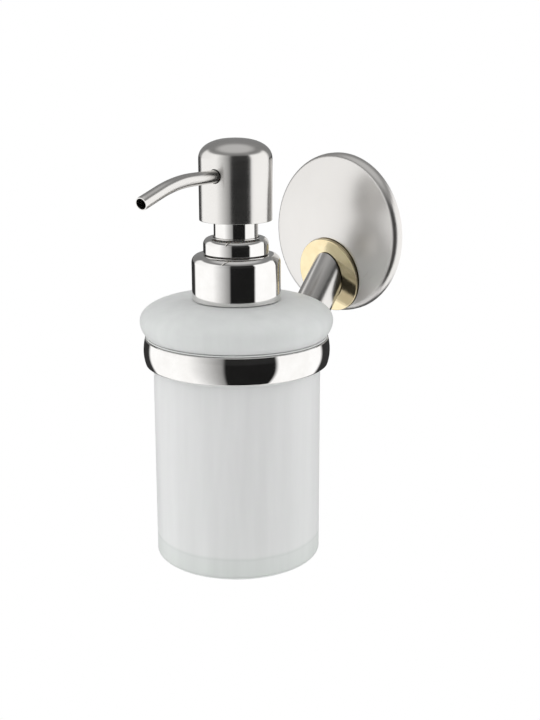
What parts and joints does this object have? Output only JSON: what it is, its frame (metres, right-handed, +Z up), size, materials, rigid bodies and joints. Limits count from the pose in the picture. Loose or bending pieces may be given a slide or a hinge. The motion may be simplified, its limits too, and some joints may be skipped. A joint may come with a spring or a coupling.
{
  "type": "wall mounted soap dispenser",
  "caption": "Wall mounted soap dispenser: frosted glass bottle with a metal hand pump, hung by its shoulder in a ring on a sloping arm from a round wall rosette.",
  "frame": {"origin": "middle of the wall bracket's back face, on the wall plane", "axes": "+Y into the wall, +Z up along the bottle's axis, +X to the right seen from the room"},
  "size_m": [0.0732, 0.1147, 0.1604],
  "materials": {
    "satin_nickel": "satin brushed nickel plate",
    "polished_nickel": "polished nickel plate",
    "polished_brass": "polished pale brass",
    "zinc_plated_steel": "bright zinc plate",
    "stainless_steel": "plain drawn",
    "frosted_glass": "acid frosted outside",
    "white_plastic": "moulded, semi matt",
    "clear_plastic": "natural polyethylene",
    "grey_rubber": "matt"
  },
  "bodies": {
    "wall_mount": {"wall_bracket": "zinc_plated_steel", "bracket_screw_left": "zinc_plated_steel", "bracket_screw_right": "zinc_plated_steel", "wall_plate": "satin_nickel", "rosette_grub_screw": "zinc_plated_steel", "brass_disc": "polished_brass", "arm_screw": "zinc_plated_steel", "arm": "satin_nickel", "holder_ring": "polished_nickel", "ring_screw": "zinc_plated_steel", "ring_liner": "clear_plastic"},
    "bottle": {"glass_bottle": "frosted_glass"},
    "pump_body": {"pump_cylinder": "white_plastic", "neck_gasket": "grey_rubber", "stem_guide": "white_plastic", "guide_collar": "polished_nickel", "dip_tube": "clear_plastic", "pump_spring": "stainless_steel"},
    "closure": {"closure_shell": "polished_nickel", "closure_nut": "white_plastic"},
    "plunger": {"piston": "white_plastic", "stem": "white_plastic"},
    "head": {"head_shell": "satin_nickel", "head_core": "white_plastic", "spout": "satin_nickel", "stem_sleeve": "polished_nickel"},
    "inlet_valve": {"inlet_ball": "stainless_steel"},
    "outlet_valve": {"outlet_ball": "stainless_steel"}
  },
  "joints": [
    {"name": "bottle_lift", "type": "slide", "parent": "wall_mount", "child": "bottle", "axis": [0, 0, 1], "range_m": [0, 0.09]},
    {"name": "closure_rise", "type": "slide", "parent": "bottle", "child": "pump_body", "axis": [0, 0, 1], "range_m": [0, 0.0059]},
    {"name": "closure_turn", "type": "hinge", "parent": "pump_body", "child": "closure", "pos_m": [0, -0.0595, -0.01], "axis": [0, 0, 1], "range_deg": [0, 510]},
    {"name": "pump_stroke", "type": "slide", "parent": "pump_body", "child": "plunger", "axis": [0, 0, -1], "range_m": [0, 0.0115], "stiffness_N_per_m": 350, "springref_m": -0.008, "deforming": ["pump_spring"]},
    {"name": "head_swivel", "type": "hinge", "parent": "plunger", "child": "head", "pos_m": [0, -0.0595, 0.02], "axis": [0, 0, 1], "range_deg": [-160, 135]},
    {"name": "inlet_ball_lift", "type": "slide", "parent": "pump_body", "child": "inlet_valve", "axis": [0, 0, 1], "range_m": [0, 0.0015]},
    {"name": "outlet_ball_lift", "type": "slide", "parent": "plunger", "child": "outlet_valve", "axis": [0, 0, 1], "range_m": [0, 0.0012]}
  ],
  "couplings": [
    {"joint": "closure_turn", "follows": "closure_rise", "rad_per_m": 1496}
  ]
}
